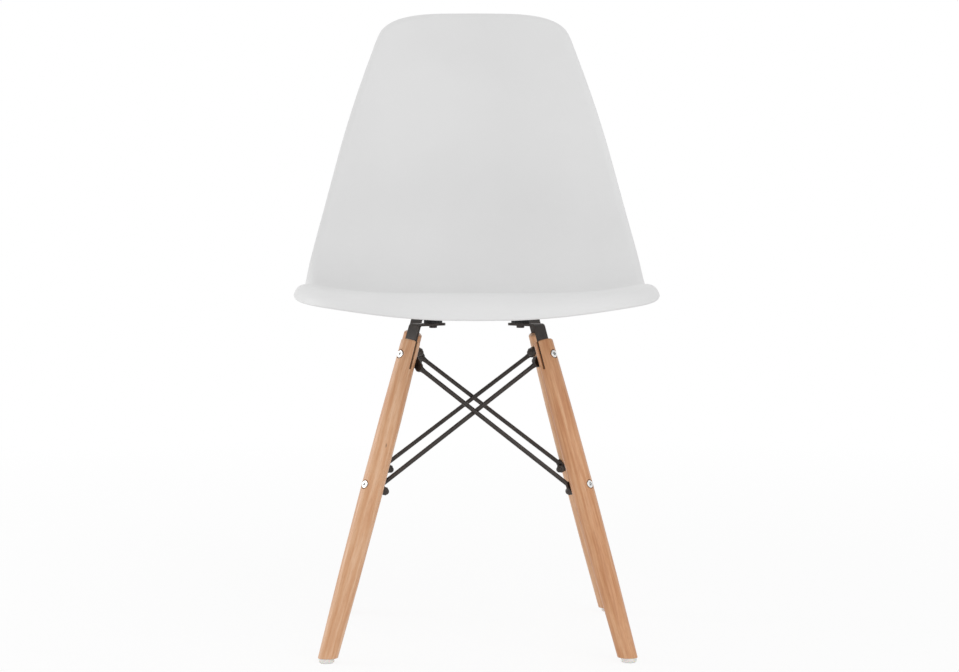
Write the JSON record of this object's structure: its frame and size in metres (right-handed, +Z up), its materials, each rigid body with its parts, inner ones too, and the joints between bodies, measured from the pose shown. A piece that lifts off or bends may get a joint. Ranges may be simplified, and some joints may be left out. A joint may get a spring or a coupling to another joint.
{
  "type": "side chair",
  "caption": "Armless dining chair: a one-piece moulded plastic seat and back on splayed round wooden legs, tied by crossed steel rods at front and rear.",
  "frame": {"origin": "on the floor, at the middle of the whole chair's width and depth", "axes": "+Z up, -Y to the front of the seat, +X to the right as seen from the front"},
  "size_m": [0.4564, 0.524, 0.82],
  "materials": {
    "shell_plastic": "fine matte texture",
    "beech": "clear satin lacquer, grain along the leg",
    "glide_nylon": "natural nylon",
    "bracket_steel": "dark satin coat",
    "brace_steel": "dark satin coat",
    "pad_rubber": "matte"
  },
  "bodies": {
    "root": {"seat_shell": "shell_plastic", "leg_front_left": "beech", "foot_glide_front_left": "glide_nylon", "leg_bracket_front_left": "bracket_steel", "rubber_pad_front_left": "pad_rubber", "leg_front_right": "beech", "foot_glide_front_right": "glide_nylon", "leg_bracket_front_right": "bracket_steel", "rubber_pad_front_right": "pad_rubber", "leg_rear_left": "beech", "foot_glide_rear_left": "glide_nylon", "leg_bracket_rear_left": "bracket_steel", "rubber_pad_rear_left": "pad_rubber", "leg_rear_right": "beech", "foot_glide_rear_right": "glide_nylon", "leg_bracket_rear_right": "bracket_steel", "rubber_pad_rear_right": "pad_rubber", "front_brace_left": "brace_steel", "front_brace_right": "brace_steel", "rear_brace_left": "brace_steel", "rear_brace_right": "brace_steel"}
  },
  "joints": []
}
